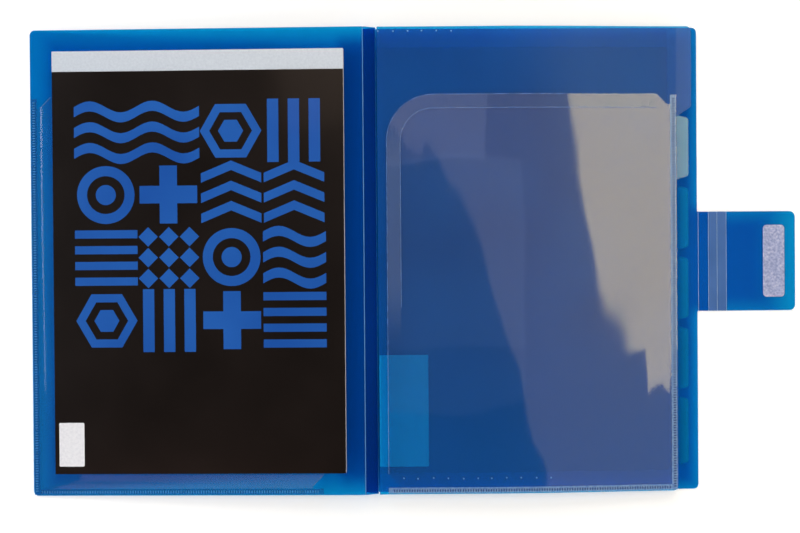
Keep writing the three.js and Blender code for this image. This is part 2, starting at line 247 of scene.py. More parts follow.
# Polypropylene, extruded and polished: it lets part of the light through, tinted blue, scatters
# the rest and is glossy on both faces. Each face of a sheet carries half of that.
def blueSheet(name, values):
    material, tree, where = newMaterial(name)
    across = addNode(tree, "SeparateXYZ", inputs={0: where}).outputs["X"]
    cloud = addNode(tree, "TexNoise", inputs={
        "Vector": where, "Scale": 1 / (values["cloudSize"] * mm), "Detail": 2,
        "Roughness": 0.45}).outputs["Fac"]
    colours = {}
    for part in ("tint", "body"):
        colours[part] = addNode(tree, "ValToRGB", inputs={"Fac": cloud}, stops=[
            (0.3, linearHex(values[part + "Deep"])),
            (0.7, linearHex(values[part + "Pale"]))]).outputs["Color"]
    zones = {}
    if "hinge" in values:  # painted shade: the sheet deepens in colour towards the spine, where the pad and the raised cover shade it
        zones["Hinge"] = addNode(tree, "MapRange", smooth, {
            "Value": across, "From Min": folder["spineX"] + values["hinge"][0] * mm,
            "From Max": folder["spineX"] + values["hinge"][1] * mm}).outputs["Result"]
    if "rim" in values:
        zones["Rim"] = rimShare(tree, where, values["rim"])
    for zone, share in zones.items():
        for part in colours:
            colours[part] = addNode(tree, "Mix", {"data_type": "RGBA"}, {
                0: share, 6: colours[part], 7: linearHex(values[part + zone])}).outputs[2]
    rough = addNode(tree, "MapRange", inputs={
        "Value": cloud, "To Min": values["roughness"] - values["roughSpread"],
        "To Max": values["roughness"] + values["roughSpread"]}).outputs["Result"]
    through = addNode(tree, "BsdfTransparent", inputs={"Color": colours["tint"]})
    solid = addNode(tree, "BsdfPrincipled", inputs={
        "Base Color": colours["body"], "Roughness": rough, "IOR": 1.49, "Specular IOR Level": 0.0})
    opacity = values["opacity"]
    if "opacityRim" in values:
        opacity = addNode(tree, "MapRange", inputs={
            "Value": zones["Rim"], "To Min": opacity, "To Max": values["opacityRim"]}).outputs["Result"]
    sheet = addNode(tree, "MixShader", inputs={0: opacity, 1: through.outputs[0], 2: solid.outputs[0]})
    gloss = addNode(tree, "BsdfGlossy", inputs={"Roughness": rough})
    share = mirrorShare(tree, values["mirror"])
    if "tabMirror" in values:  # the index tab is glossier than the rest of the sheet
        tabStart = folder["spineX"] + values["tabStart"] * mm
        tab = addNode(tree, "MapRange", inputs={
            "Value": across, "From Min": tabStart, "From Max": tabStart + 0.5 * mm,
            "To Max": values["tabMirror"]})
        share = addNode(tree, "Math", {"operation": "ADD"}, {
            0: share, 1: tab.outputs["Result"]}).outputs[0]
    mix = addNode(tree, "MixShader", inputs={0: share, 1: sheet.outputs[0], 2: gloss.outputs[0]})
    return closeMaterial(material, mix)


# The tint is what a sheet lets through and the body what it scatters. Lengths are in mm.
coverLook = {
    "tintDeep": "30bce8", "tintPale": "3cc4ec",
    "bodyDeep": "084ca6", "bodyPale": "0a56b0",
    "opacity": 0.2, "roughness": 0.26, "roughSpread": 0.05, "mirror": 0.001,
    "cloudSize": 110,
}
# The Rim colours are painted light: each sheet pales towards its cut edges, its tab or its foot.
coverRim = {"middle": 0, "half": 165, "width": 16, "endShare": 1.0, "sideStart": -214, "sideEnd": -232}
# The front cover's deeper colour beside the spine is painted shade from the pad and the raised cover.
frontLook = dict(
    coverLook, tintRim="44d0ee", bodyRim="0a74be", rim=coverRim,
    tintHinge="2aa8dc", bodyHinge="063c94", hinge=(-22, -12))
backLook = dict(
    coverLook, tintRim="48d6f2", bodyRim="0a84c4",
    rim=dict(coverRim, width=9, sideStart=229, sideEnd=239, neckHalf=36, neckSoft=6))
# Painted light: the spine's panels are the cover's sheet drawn paler and a little clearer, so the spine
# comes out lighter.
spineLook = dict(
    coverLook, tintDeep="48ccf0", tintPale="54d4f4", bodyDeep="0858b4", bodyPale="0a62be", opacity=0.17)
flapLook = dict(
    coverLook, tintRim="54dcf2", bodyRim="0a90c8",
    rim=dict(coverRim, middle=-2, half=35.5, width=12, endShare=0.5, sideStart=276, sideEnd=309))
wallLook = dict(  # pales from its middle to its foot only, so the sides of its rim lie past the sheet
    coverLook, tintDeep="4cdaf2", tintPale="58e2f6", bodyDeep="0872c8", bodyPale="0a7cd2",
    mirror=0.016, roughness=0.3, cloudSize=70, tabStart=222, tabMirror=0.012,
    tintRim="50e0f4", bodyRim="0a8ae6",
    rim=dict(coverRim, middle=100, half=265, width=160, sideStart=400, sideEnd=500))
dividerLook = dict(  # pales and thickens on its tab only
    coverLook, tintDeep="78e8f8", tintPale="84eefa", bodyDeep="0874c4", bodyPale="0a7ecc",
    opacity=0.1, opacityRim=0.24, cloudSize=70, tintRim="9cf2fa", bodyRim="0a9ccc",
    rim=dict(coverRim, half=400, width=1, endShare=0.0, sideStart=218, sideEnd=230))
gussetLook = dict(
    coverLook, tintDeep="dcfcff", tintPale="e4fdff", bodyDeep="0898e0", bodyPale="10a0e8",
    opacity=0.01, cloudSize=30)
# Painted sheen: the flap's two middle panels are drawn paler and greyer, for the light they mirror.
flapSheenLook = dict(
    coverLook, tintDeep="60c4ea", bodyDeep="6684b8", bodyPale="7290c2",
    opacity=0.42, roughness=0.34, cloudSize=20)
creaseLook = dict(
    coverLook, tintDeep="90d8f4", tintPale="98dcf6", bodyDeep="70a8da", bodyPale="88bce6",
    opacity=0.55, cloudSize=12)
flapCreaseLook = dict(  # stretched plastic turns whitish
    coverLook, tintDeep="a8d8f4", tintPale="b0dcf6", bodyDeep="c4dcf6", bodyPale="dceafc",
    opacity=0.75, cloudSize=12)

for name, look, nodes in (
        ("extrudedPolypropyleneCover", coverLook, ["flap_panel_1"]),
        ("extrudedPolypropyleneBackCover", backLook, ["back_cover"]),
        ("extrudedPolypropyleneSpine", spineLook, ["spine_panel_lower", "spine_panel_upper"]),
        ("extrudedPolypropyleneFrontCover", frontLook, ["front_cover"]),
        ("extrudedPolypropyleneFlapTab", flapLook, ["flap_tab"]),
        ("paintedSheenPolypropyleneFlap", flapSheenLook, ["flap_panel_2", "flap_panel_3"]),
        ("extrudedPolypropyleneWall", wallLook, ["front_wall"]),
        ("polishedPolypropyleneTab", dict(dividerLook, tabStart=217.5, tabMirror=0.07), ["divider_2"]),
        ("thinPolypropyleneDivider", dividerLook, [f"divider_{k}" for k in range(3, 7)])):
    polypropylene = blueSheet(name, look)
    for node in nodes:
        dress(node, polypropylene)
gussetPolypropylene = blueSheet("thinPolypropyleneGusset", gussetLook)
creasePolypropylene = blueSheet("foldedPolypropyleneCrease", creaseLook)
flapCreasePolypropylene = blueSheet("stretchedPolypropyleneCrease", flapCreaseLook)
print("blue sheets dressed")


# Creases: thin webs close the scored sheet where it bends.
crease = {
    "near": 0.15, "far": 0.42,    # mm from the pivot to the two faces of the web
    "gap": 0.15, "gapTop": 0.35,  # mm from the pivot to where each sheet starts
    "hold": 0.12,                 # mm that the web reaches onto each sheet
    "short": 0.1,                 # mm that it stays inside the ends of the sheets
    "steps": 6,
}


def creaseWeb(name, pivot, startTurn, endTurn, reach, ends, material, first, second, mitre=False):
    # a strip round the pivot line: the turns are those of the radius that points into each sheet
    sweep = endTurn - startTurn
    way = 1 if sweep > 0 or mitre else -1
    middle = [startTurn + sweep * k / crease["steps"] for k in range(crease["steps"] + 1)]
    if mitre:
        middle = [startTurn + sweep / 2]
    bm = bmesh.new()
    section = []
    for radius in (crease["near"], crease["far"]):
        row = []
        for turn, side in ((startTurn, -1), (endTurn, 1)):
            a = math.radians(turn)
            along = Vector((-math.sin(a), 0, math.cos(a))) * side * way
            base = Vector((math.cos(a), 0, math.sin(a))) * radius
            straight = [base + along * reach * k / 2 for k in (2, 1)]
            row.append(straight if side < 0 else straight[::-1])
        radius /= math.cos(math.radians(sweep / 2)) if mitre else 1
        bend = [Vector((math.cos(math.radians(t)), 0, math.sin(math.radians(t)))) * radius for t in middle]
        section.append(row[0] + bend + row[1])
    line = [pivot + p for p in section[0]] + [pivot + p for p in reversed(section[1])]
    face = bm.faces.new([bm.verts.new((p.x * mm, ends[0] * mm, p.z * mm)) for p in line])
    grown = bmesh.ops.extrude_face_region(bm, geom=[face], use_keep_orig=True)["geom"]
    far = [g for g in grown if isinstance(g, bmesh.types.BMVert)]
    bmesh.ops.translate(bm, vec=(0, (ends[1] - ends[0]) * mm, 0), verts=far)
    bmesh.ops.translate(bm, vec=(folder["spineX"], 0, 0), verts=bm.verts)
    piece = makePiece(name, bm, material, sharp=50)
    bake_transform(piece)


spine = {"turn": 26.18, "creaseTop": 10.5, "creaseLow": 0.6, "tipX": 8.709, "tipZ": 5.55}  # degrees and mm
half = folder["halfHeight"] - crease["short"]
tilt, turn = math.degrees(folder["coverTilt"]), spine["turn"]
for name, x, z, turns, gap, first, second in (
        ("Top", 0, spine["creaseTop"], (tilt - 90, -90 - turn), "gapTop", "front_cover", "spine_upper"),
        ("Middle", spine["tipX"], spine["tipZ"], (turn - 90, 90 - turn), "gap",
         "spine_lower", "spine_upper"),
        ("Low", 0, spine["creaseLow"], (270, 90 + turn), "gap", "back_cover", "spine_lower")):
    creaseWeb(
        "spineCrease" + name, Vector((x, 0, z)), *turns, crease[gap] + crease["hold"], (-half, half),
        creasePolypropylene, first, second, mitre=name == "Top")

flap = {
    "low": -37.4, "high": 33.4, "creases": [239.1, 246.4, 252.6, 259.2],
    "turns": (-90.5, -89.5),  # nearly flat
    "bodies": ["back_cover", "flap_1", "flap_2", "flap_3", "flap_tab"],
}
for i, x in enumerate(flap["creases"]):
    creaseWeb(
        f"flapCrease_{i + 1}", Vector((x, 0, folder["coverSheet"])), *flap["turns"],
        crease["gap"] + crease["hold"], (flap["low"], flap["high"]), flapCreasePolypropylene,
        flap["bodies"][i], flap["bodies"][i + 1])
print("creases made")


# Pleated gussets close both ends of the six pockets.
gusset = {
    "inner": 150.55, "outer": 164.5, "sheet": 0.14, "start": 11.97, "end": 216.5, "pitch": 6.0,
    "gap": 0.08,       # mm to the walls above and below
    "nearWall": 0.1,   # mm from the fold to the wall, in the first and the last pocket
    "foldHalf": 0.05,  # mm
    "legSteps": 4,
}


def gussetPiece(end, side, pocket):
    bm = bmesh.new()
    xs = [gusset["start"]] + steps(gusset["start"], gusset["end"], gusset["pitch"]) + [gusset["end"]]
    depth = gusset["outer"] - gusset["inner"]
    shares = [k / gusset["legSteps"] for k in range(gusset["legSteps"] + 1)]

    def legHeights(x):
        above = wallTop(pocket, x) - folder["wallSheet"]
        below = wallTop(pocket + 1, x)
        return below + gusset["gap"], above - gusset["gap"]

    def profile(x):  # down the upper leg to the fold, and back down the lower leg
        low, high = legHeights(x)
        fold = (low + high) / 2
        if pocket == 1:
            fold = high - gusset["nearWall"]
        elif pocket == folder["pockets"]:
            fold = low + gusset["nearWall"]
        foldTop, foldLow = fold + gusset["foldHalf"], fold - gusset["foldHalf"]
        upper = [(gusset["inner"] + depth * s, high + (foldTop - high) * s) for s in shares]
        lower = [(gusset["outer"] - depth * s, foldLow + (low - foldLow) * s) for s in shares[1:]]
        return upper + lower

    line = [bm.verts.new((xs[0] * mm, side * y * mm, z * mm)) for y, z in profile(xs[0])]
    edges = [bm.edges.new(pair) for pair in zip(line, line[1:])]
    for x in xs[1:]:
        grown = bmesh.ops.extrude_edge_only(bm, edges=edges)["geom"]
        line = sorted((g for g in grown if isinstance(g, bmesh.types.BMVert)), key=lambda v: min(
            range(len(line)), key=lambda k: (line[k].co - v.co).length))
        edges = [g for g in grown if isinstance(g, bmesh.types.BMEdge) and all(v in line for v in g.verts)]
        for vert, (y, z) in zip(line, profile(x)):
            vert.co = (x * mm, side * y * mm, z * mm)
    bmesh.ops.recalc_face_normals(bm, faces=bm.faces)
    bmesh.ops.solidify(bm, geom=bm.faces[:], thickness=gusset["sheet"] * mm)
    bmesh.ops.translate(bm, vec=(folder["spineX"], 0, 0), verts=bm.verts)
    piece = makePiece(f"gussetPleat_{end}_{pocket}", bm, gussetPolypropylene)
    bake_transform(piece)
    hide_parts(f"gusset_{end}_{pocket}")


for end, side in (("top", 1), ("bottom", -1)):
    for pocket in range(1, folder["pockets"] + 1):
        gussetPiece(end, side, pocket)
print("gussets pleated")


# Cast polypropylene film: clear, very glossy, a little hazy, and never quite flat.
filmLook = {
    "roughness": 0.045, "hazeColour": "c8d4e8", "tint": "feffff",
    "wave": 0.02, "waveSize": 14,  # mm
    "milkyEnd": 0.15,
}


def filmMaterial(name, hazeShare, mirrorLevel=0.04, milky=None):
    material, tree, where = newMaterial(name)
    ripple = addNode(tree, "TexNoise", inputs={
        "Vector": where, "Scale": 1 / (filmLook["waveSize"] * mm), "Detail": 1})
    bump = addNode(tree, "Bump", inputs={
        "Height": ripple.outputs["Fac"], "Distance": filmLook["wave"] * mm, "Strength": 0.5})
    through = addNode(tree, "BsdfTransparent", inputs={"Color": linearHex(filmLook["tint"])})
    haze = addNode(tree, "BsdfDiffuse", inputs={"Color": linearHex(filmLook["hazeColour"])})
    gloss = addNode(tree, "BsdfGlossy", inputs={
        "Roughness": filmLook["roughness"], "Normal": bump.outputs["Normal"]})
    if milky:  # the film is milky between these places, in mm along the spine
        along = addNode(tree, "SeparateXYZ", inputs={0: where}).outputs["Y"]
        rise = addNode(tree, "MapRange", smooth, {
            "Value": along, "From Min": milky[0] * mm, "From Max": milky[1] * mm, "To Max": hazeShare})
        drop = addNode(tree, "MapRange", smooth, {
            "Value": along, "From Min": milky[2] * mm, "From Max": milky[3] * mm,
            "To Min": 1.0, "To Max": filmLook["milkyEnd"]})
        hazeShare = addNode(tree, "Math", {"operation": "MULTIPLY"}, {
            0: rise.outputs["Result"], 1: drop.outputs["Result"]}).outputs[0]
    clear = addNode(tree, "MixShader", inputs={
        0: hazeShare, 1: through.outputs[0], 2: haze.outputs[0]})
    mix = addNode(tree, "MixShader", inputs={
        0: mirrorShare(tree, mirrorLevel), 1: clear.outputs[0], 2: gloss.outputs[0]})
    return closeMaterial(material, mix)


looseFilm = filmMaterial("castPolypropyleneFilmLoose", 0.003)
hemFilm = filmMaterial(  # the rim is milky above the label
    "castPolypropyleneFilmHem", 0.04, 0.0, milky=(-62, -10, 70, 108))
pressedFilm = filmMaterial("castPolypropyleneFilmPressed", 0.004, 0.03)  # flat on its sheet it hazes less


# Polypropylene that was cut, scored or welded: a cut or scored edge is drawn pale, partly whitened plastic
# and partly a painted highlight where it catches the light, a welded strip is paler than its sheet and the
# pits in it are darker.
edgeLook = {
    "pale": "96b8e2", "shade": 0.7, "opacity": 0.45, "coat": 1.0, "roughness": 0.25,
    "grain": 6, "detail": 3, "spread": 0.2, "clear": "f0f6fc",  # the grain is in mm
}
weldLook = dict(edgeLook, coat=0.6, roughness=0.3, grain=1.4, detail=2, spread=0.15, clear="dfe9f4")


def pressedMaterial(name, values):
    material, tree, where = newMaterial(name)
    wear = addNode(tree, "TexNoise", inputs={
        "Vector": where, "Scale": 1 / (values["grain"] * mm), "Detail": values["detail"]})
    pale = linearHex(values["pale"])
    deep = [values["shade"] * c for c in pale[:3]] + [1.0]
    if "deep" in values:
        deep = linearHex(values["deep"])
    colour = addNode(tree, "ValToRGB", inputs={"Fac": wear.outputs["Fac"]}, stops=[
        (0.5 - values["spread"], deep), (0.5 + values["spread"], pale)])
    through = addNode(tree, "BsdfTransparent", inputs={"Color": linearHex(values["clear"])})
    solid = addNode(tree, "BsdfPrincipled", inputs={
        "Base Color": colour.outputs["Color"], "Roughness": values["roughness"], "IOR": 1.5,
        "Coat Weight": values["coat"]})
    mix = addNode(tree, "MixShader", inputs={
        0: values["opacity"], 1: through.outputs[0], 2: solid.outputs[0]})
    return closeMaterial(material, mix)


wallWeld = pressedMaterial(
    "weldedPolypropyleneFilmWall", dict(weldLook, deep="7aa6d8", pale="a8ccee", opacity=0.4))
coverWeld = pressedMaterial(
    "weldedPolypropyleneFilmCover", dict(weldLook, deep="1a78c0", pale="2a88cc", opacity=0.16))
filmEdge = pressedMaterial("cutFilmEdge", edgeLook)
filmScore = pressedMaterial("scoredFilmLine", dict(edgeLook, pale="9cbce6", opacity=0.5))
wallPit = pressedMaterial(
    "weldPitWall", dict(edgeLook, pale="0a2c64", opacity=0.97, coat=0.0, roughness=0.6))
coverPit = pressedMaterial(
    "weldPitCover", dict(edgeLook, pale="5aa4dc", opacity=0.5, coat=0.6, roughness=0.4))
spotWeld = pressedMaterial("spotWeldDot", dict(edgeLook, pale="8cbcea", opacity=0.5))


def bead(name, points, radius, material):  # a thin round line along a film's edge
    curve = bpy.data.curves.new(name, "CURVE")
    curve.dimensions = "3D"
    curve.bevel_depth = radius * mm
    curve.bevel_resolution = 1
    curve.use_fill_caps = True
    spline = curve.splines.new("POLY")
    spline.points.add(len(points) - 1)
    for target, point in zip(spline.points, points):
        target.co = (*point, 1)
    shape = bpy.data.objects.new(name, curve)
    scene.collection.objects.link(shape)
    bpy.context.view_layer.update()
    mesh = bpy.data.meshes.new_from_object(shape.evaluated_get(bpy.context.evaluated_depsgraph_get()))
    bpy.data.objects.remove(shape)
    bm = bmesh.new()
    bm.from_mesh(mesh)
    bpy.data.meshes.remove(mesh)
    return makePiece(name, bm, material, sharp=60)


# Clear film pockets, in mm.
film = {
    "width": 206.0, "height": 282.0, "margin": 0.3, "weld": 4.4, "coverSide": -236.0,
    "corner": 33.0, "chamfer": 7.5, "notch": 2.2, "edgeSteps": 12, "cornerSteps": 10,
    "cutPitch": 5.0, "stationLead": 1, "stationTail": 11.5, "stations": 20,
    "holdSide": 20, "holdFoot": 30,  # over which the film comes loose from its welds
    "rise": 0.45, "swell": 0.7, "swells": [(60, 85, 3.1, 0.55), (22, 60, 8.4, 0.12)],
    "edgeIn": 0.1, "edgeLift": 0.24, "edgeRadius": 0.16, "coverEdgeLift": 0.3,
    "hem": 9.8, "scoreRadius": 0.15, "scoreSkip": 6,
    "hemIn": 0.4, "hemGap": 0.2, "hemLift": 0.27, "hemSheet": 0.03,
}
weld = {
    "lift": 0.25, "low": 0.01, "top": 0.06, "inset": 0.4, "short": 0.9, "gap": 0.02, "cut": 6,
    "pitPitch": 1.8, "pitWidth": 1.0, "pitLength": 2.5, "pitHeight": 0.06, "pitMiddle": 0.062,
    "sideClear": 3, "footClear": 4,  # without pits at the ends of the two strips
}
filmLow = film["margin"] - folder["halfHeight"]
filmHigh = filmLow + film["height"]
wallWeldX = folder["wallEnd"] - film["margin"]
wallFreeX = wallWeldX - film["width"]
coverWeldX = film["coverSide"] + film["margin"]
coverFreeX = coverWeldX + film["width"]


def wallFilmRise(x, y):
    # loose film: broad swells that die out towards the two welded edges
    hold = smoothStep((wallWeldX - film["weld"] - x) / film["holdSide"])
    hold *= smoothStep((y - filmLow - film["weld"]) / film["holdFoot"])
    return max(hold * (film["rise"] + film["swell"] * swellAt(x, y, film["swells"])), 0)


def wallFilm():
    # the CAD film is flat between stations across the wall, and here it follows the true curve
    bm = meshOfNode("wall_pocket_film")
    low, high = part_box("wall_pocket_film")
    cutAt(bm, (1, 0, 0), steps(low.x, high.x, film["cutPitch"] * mm))
    cutAt(bm, (0, 1, 0), steps(low.y, high.y, film["cutPitch"] * mm))
    start = folder["wallStart"] - film["stationLead"]
    pitch = (folder["wallEnd"] + film["stationTail"] - start) / film["stations"]
    for vert in bm.verts:
        x = (vert.co.x - folder["spineX"]) / mm
        y = vert.co.y / mm
        station = (x - start) / pitch
        i = math.floor(station)
        before, after = (stackHeight(start + pitch * k) for k in (i, i + 1))
        lift = vert.co.z / mm - (before + (after - before) * (station - i))
        vert.co.z = (stackHeight(x) + lift + wallFilmRise(x, y)) * mm
    bmesh.ops.triangulate(bm, faces=[f for f in bm.faces if len(f.verts) > 4])
    place(makePiece("wallPocketFilm", bm, looseFilm), "front_wall", "clear_film", "wall_pocket_film")


def freeEdge(inset):
    # the free edge of the wall's film: up from its foot beside the spine, round the corner, to the weld
    cut = film["weld"] + film["notch"] + film["chamfer"]
    foot, reach = filmLow + cut, wallWeldX - cut
    centreX, centreY = wallFreeX + film["corner"], filmHigh - film["corner"]
    radius, count = film["corner"] - inset, film["edgeSteps"]
    turns = [math.radians(180 - 90 * k / film["cornerSteps"]) for k in range(film["cornerSteps"] + 1)]
    up = [(wallFreeX + inset, foot + (centreY - foot) * k / count) for k in range(count)]
    corner = [(centreX + radius * math.cos(turn), centreY + radius * math.sin(turn)) for turn in turns]
    along = [(centreX + (reach - centreX) * k / count, filmHigh - inset) for k in range(1, count + 1)]
    return up + corner + along


def wallFilmTrim():
    def lifted(points, lift):
        return [onStack(x, y, lift + wallFilmRise(x, y)) for x, y in points]

    chamferEnd = (wallWeldX - film["weld"] - film["notch"], filmHigh - film["chamfer"])
    edge = lifted(freeEdge(film["edgeIn"]) + [chamferEnd], film["edgeLift"])
    place(bead("wallFilmFreeEdge", edge, film["edgeRadius"], filmEdge), "front_wall", "clear_film")
    score = lifted(freeEdge(film["hem"])[film["scoreSkip"]:], film["edgeLift"])
    place(bead("wallFilmScoreLine", score, film["scoreRadius"], filmScore), "front_wall", "clear_film")
    band = bmesh.new()
    outer, inner = (
        [band.verts.new(point) for point in lifted(freeEdge(inset), film["hemLift"])]
        for inset in (film["hemIn"], film["hem"] - film["hemGap"]))
    for k in range(len(outer) - 1):
        band.faces.new((outer[k], outer[k + 1], inner[k + 1], inner[k]))
    bmesh.ops.recalc_face_normals(band, faces=band.faces)
    bmesh.ops.solidify(band, geom=band.faces[:], thickness=film["hemSheet"] * mm)
    place(makePiece("wallFilmHem", band, hemFilm), "front_wall", "clear_film")
    weldStrip("wallFilmWeld", "front_wall", wallFreeX, wallWeldX, onStack, wallWeld, wallPit)


def weldStrip(name, body, freeX, weldX, lay, stripMaterial, pitMaterial):
    # ultrasonic weld: two strips that meet in the corner, each pressed with a row of fine pits
    high = filmHigh - weld["short"]
    outward = 1 if weldX > freeX else -1
    inner = weldX - outward * film["weld"]
    bm = bmesh.new()
    side = (weldX - outward * weld["inset"], inner, high)
    foot = (freeX, inner - outward * weld["gap"], filmLow + film["weld"])
    for start, end, top in (side, foot):
        boxBetween(bm, (start, filmLow + weld["inset"], weld["low"]), (end, top, weld["top"]))
    cutAt(bm, (1, 0, 0), steps(min(freeX, weldX) * mm, max(freeX, weldX) * mm, weld["cut"] * mm))
    for vert in bm.verts:
        vert.co = lay(vert.co.x / mm, vert.co.y / mm, weld["lift"] + vert.co.z / mm)
    place(makePiece(name, bm, stripMaterial), body, "clear_film")
    bm = bmesh.new()
    pitch = weld["pitPitch"]
    count = int((high - filmLow - weld["sideClear"]) / pitch)
    pits = [(weldX - outward * film["weld"] * 0.5, filmLow + weld["sideClear"] + pitch * k, 90)
            for k in range(count)]
    count = int((film["width"] - 2 * weld["footClear"]) / pitch)
    pits += [(freeX + outward * (weld["footClear"] + pitch * k), filmLow + film["weld"] * 0.5, 0)
             for k in range(count)]
    shape = Matrix.Diagonal(
        (weld["pitWidth"] / 2 * mm, weld["pitLength"] / 2 * mm, weld["pitHeight"] / 2 * mm, 1))
    for x, y, turn in pits:
        centre = lay(x, y, weld["lift"] + weld["pitMiddle"])
        matrix = Matrix.Translation(centre) @ Matrix.Rotation(math.radians(turn), 4, "Z") @ shape
        bmesh.ops.create_icosphere(bm, subdivisions=1, radius=1, matrix=matrix)
    place(makePiece(name + "Pits", bm, pitMaterial), body, "clear_film")


def coverFilm():
    bm = meshOfNode("cover_pocket_film")
    place(makePiece("coverPocketFilm", bm, pressedFilm), "front_cover", "clear_film", "cover_pocket_film")
    corner = film["weld"] + film["notch"]
    reach = corner + film["chamfer"]
    edges = (
        ("Chamfer", (coverWeldX + corner, filmHigh - film["chamfer"]), (coverWeldX + reach, filmHigh)),
        ("Foot", (coverFreeX, filmLow + reach), (coverFreeX - film["chamfer"], filmLow + corner)))
    for name, *ends in edges:
        line = [onCover(x, y, film["coverEdgeLift"]) for x, y in ends]
        place(bead("coverFilm" + name, line, film["edgeRadius"], filmEdge), "front_cover", "clear_film")
    weldStrip("coverFilmWeld", "front_cover", coverFreeX, coverWeldX, onCover, coverWeld, coverPit)


wallFilm()
wallFilmTrim()
coverFilm()
print("film pockets made")


# Spot welds fix the gussets to the front wall, in two rows: a row's place along the spine, and
# where it starts and ends across the wall, in mm.
spots = {
    "pitch": 10.4, "rows": ((162.0, 11.0, 66.0), (-153.9, 27.0, 134.0)),
    "radius": 0.7, "rise": 0.12, "lift": 0.03, "jitterX": 0.6, "jitterY": 0.3,
}
bm = bmesh.new()
dot = Matrix.Diagonal((spots["radius"] * mm, spots["radius"] * mm, spots["rise"] * mm, 1))
for row, first, last in spots["rows"]:
    for k in range(int((last - first) / spots["pitch"]) + 1):
        jitter = Vector((
            random.uniform(-spots["jitterX"], spots["jitterX"]),
            random.uniform(-spots["jitterY"], spots["jitterY"]), 0)) * mm
        centre = onStack(first + spots["pitch"] * k, row, spots["lift"]) + jitter
        bmesh.ops.create_icosphere(bm, subdivisions=1, radius=1, matrix=Matrix.Translation(centre) @ dot)
place(makePiece("wallSpotWelds", bm, spotWeld), "front_wall", "wall_sheet")


# The note pad lies in the cover's pocket. Its places are in mm on the cover.
pad = {
    "left": -218.4, "right": -13.4, "half": 148.5,
    "blockLow": 1.15, "blockTop": 5.75, "leaves": 15, "jitter": 0.16, "leafGap": 0.03,
    "sheetLow": 5.8, "sheetTop": 6.1,
    "tapeLow": 134.5, "tapeGap": 0.15, "tapeRadius": 0.2,
    "wave": 0.10, "waves": [(90, 120, 5.2, 1), (40, 50, 2.2, 0.4)], "dip": -0.04, "cut": 10.0,
}


# Paper: matt, with faint fibres, which are drawn coarser than they are so that they show.
def paperMaterial(name, body, shade, roughness, fibre):
    material, tree, where = newMaterial(name)
    pulp = addNode(tree, "TexNoise", inputs={
        "Vector": where, "Scale": 1 / (fibre * mm), "Detail": 4, "Roughness": 0.6}).outputs["Fac"]
    colour = addNode(tree, "ValToRGB", inputs={"Fac": pulp}, stops=[
        (0.3, linearHex(shade)), (0.65, linearHex(body))])
    bump = addNode(tree, "Bump", inputs={"Height": pulp, "Distance": 0.02 * mm, "Strength": 0.5})
    rough = addNode(tree, "MapRange", inputs={
        "Value": pulp, "To Min": roughness - 0.06, "To Max": roughness + 0.06})
    solid = addNode(tree, "BsdfPrincipled", inputs={
        "Base Color": colour.outputs["Color"], "Roughness": rough.outputs["Result"], "IOR": 1.45,
        "Specular IOR Level": 0.35, "Normal": bump.outputs["Normal"]})
    return closeMaterial(material, solid)


padPaper = paperMaterial("uncoatedPadPaper", "ece8ea", "d8d2d4", 0.8, 1.2)
greyBoard = paperMaterial("greyBoard", "aaa49a", "8e877c", 0.88, 0.8)
bindingPaper = paperMaterial("crepedBindingPaper", "ced5de", "c3cad4", 0.62, 1.6)
labelPaper = paperMaterial("coatedLabelPaper", "f0eff2", "e2e1e6", 0.45, 2.0)
dress("pad_back_card", greyBoard)
dress("index_label", labelPaper)

bm = bmesh.new()
leafHeight = (pad["blockTop"] - pad["blockLow"]) / pad["leaves"]
for k in range(pad["leaves"]):
    left, right, foot, _ = (random.uniform(0, pad["jitter"]) for _ in range(4))  # trims, and a spare draw
    low = pad["blockLow"] + leafHeight * k
    boxBetween(
        bm, (pad["left"] + left, foot - pad["half"], low + pad["leafGap"] / 2),
        (pad["right"] - right, pad["half"], low + leafHeight - pad["leafGap"] / 2))
bmesh.ops.transform(bm, matrix=coverMatrix, verts=bm.verts)
place(makePiece("padLeaves", bm, padPaper), "pad", "pad_paper", "pad_paper_block")

# The binding paper folds round the head in a small radius: its upper long edge there is rounded.
bm = meshOfNode("pad_head_tape")
low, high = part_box("pad_head_tape")
inside = coverMatrix.inverted()
headEdges = [
    e for e in bm.edges
    if all(v.co.y > high.y - 0.05 * mm for v in e.verts)
    and abs(e.verts[0].co.x - e.verts[1].co.x) > (high.x - low.x) / 2
    and all((inside @ v.co).z > pad["blockTop"] * mm / 2 for v in e.verts)
]
bmesh.ops.bevel(
    bm, geom=headEdges, offset=pad["tapeRadius"] * mm, segments=3, affect="EDGES", profile=0.5, material=-1)
place(makePiece("padHeadTape", bm, bindingPaper), "pad", "head_tape", "pad_head_tape")


def bentToPad(bm):  # the cover sheet and what is on it are slightly wavy
    spans = (((1, 0, 0), pad["left"], pad["right"]), ((0, 1, 0), -pad["half"], pad["tapeLow"]))
    for axis, low, high in spans:
        cutAt(bm, axis, [spot * mm for spot in steps(low, high, pad["cut"])])
    for vert in bm.verts:
        wave = pad["wave"] * swellAt(vert.co.x / mm, vert.co.y / mm, pad["waves"])
        vert.co.z += max(wave, pad["dip"]) * mm
    bmesh.ops.transform(bm, matrix=coverMatrix, verts=bm.verts)


